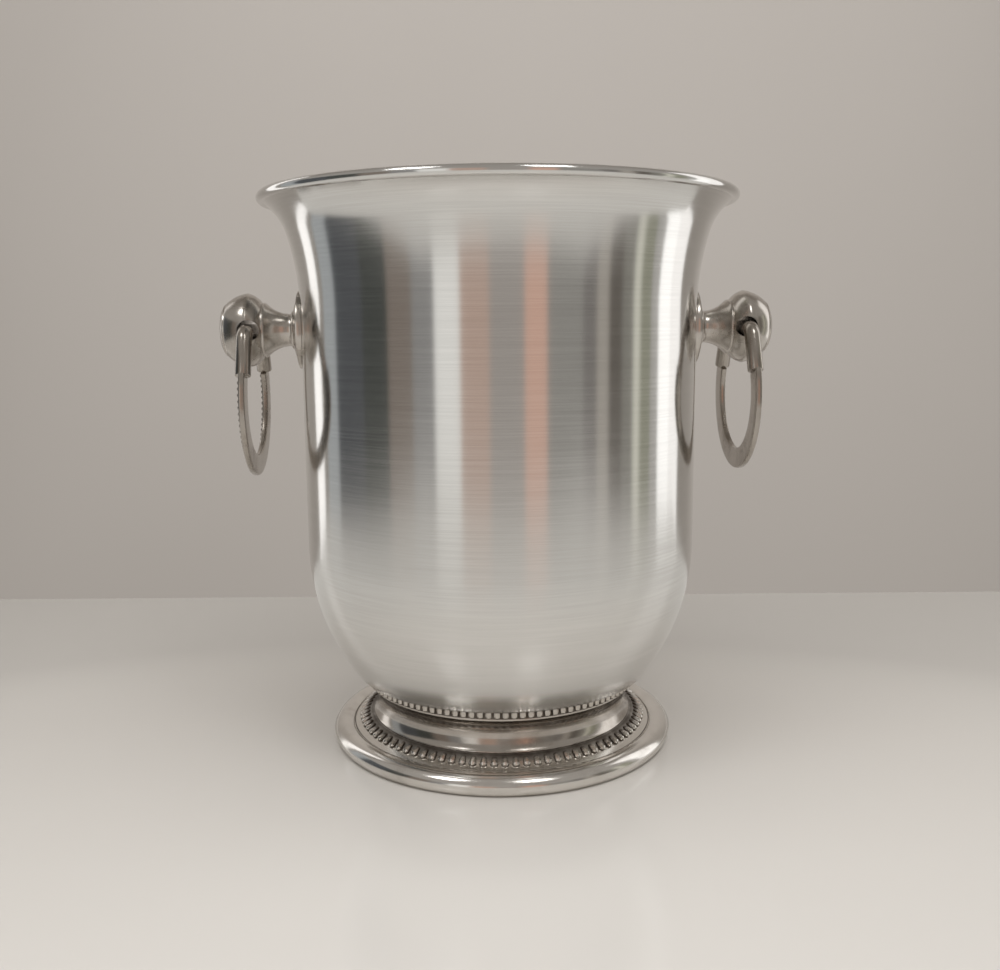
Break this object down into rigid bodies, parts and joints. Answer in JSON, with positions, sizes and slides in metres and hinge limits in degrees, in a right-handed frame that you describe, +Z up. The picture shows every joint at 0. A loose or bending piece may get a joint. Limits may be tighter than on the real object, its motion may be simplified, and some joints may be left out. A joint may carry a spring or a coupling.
{
  "type": "champagne bucket",
  "caption": "Table-top champagne bucket: flared metal bowl on a beaded pedestal foot, with a swinging beaded ring handle hung from a turned knob on each side.",
  "frame": {"origin": "middle of the foot's underside, on the surface that the bucket stands on", "axes": "+Z up along the bucket's axis; the two handles lie along +X and -X; +Y is away from the viewer"},
  "size_m": [0.2344, 0.2, 0.2345],
  "materials": {
    "brushed_bowl": "satin, fine brushing round the bowl",
    "polished_foot": "polished",
    "handle_metal": "polished, lightly worn",
    "beaded_silver": "polished beads with dark tarnish between them",
    "plain_steel": "plain machined",
    "seal_rubber": "matte"
  },
  "bodies": {
    "root": {"bowl": "brushed_bowl", "base_stud": "plain_steel", "upper_bead_ring": "beaded_silver", "foot_collar": "polished_foot", "lower_bead_ring": "beaded_silver", "foot_flange": "polished_foot", "foot_clamp_plate": "plain_steel", "foot_spring_washer": "plain_steel", "foot_nut": "plain_steel", "right_wall_plate": "handle_metal", "right_handle_post": "handle_metal", "right_wall_seal": "seal_rubber", "right_inner_washer": "plain_steel", "right_handle_screw": "plain_steel", "left_wall_plate": "handle_metal", "left_handle_post": "handle_metal", "left_wall_seal": "seal_rubber", "left_inner_washer": "plain_steel", "left_handle_screw": "plain_steel"},
    "right_ring": {"right_pivot_bar": "handle_metal", "right_ring_loop": "beaded_silver"},
    "left_ring": {"left_pivot_bar": "handle_metal", "left_ring_loop": "beaded_silver"}
  },
  "joints": [
    {"name": "right_ring_swing", "type": "hinge", "parent": "root", "child": "right_ring", "pos_m": [0.10505, 0, 0.1789], "axis": [0, -1, 0], "range_deg": [-16, 180]},
    {"name": "left_ring_swing", "type": "hinge", "parent": "root", "child": "left_ring", "pos_m": [-0.10505, 0, 0.1789], "axis": [0, 1, 0], "range_deg": [-16, 180]}
  ]
}
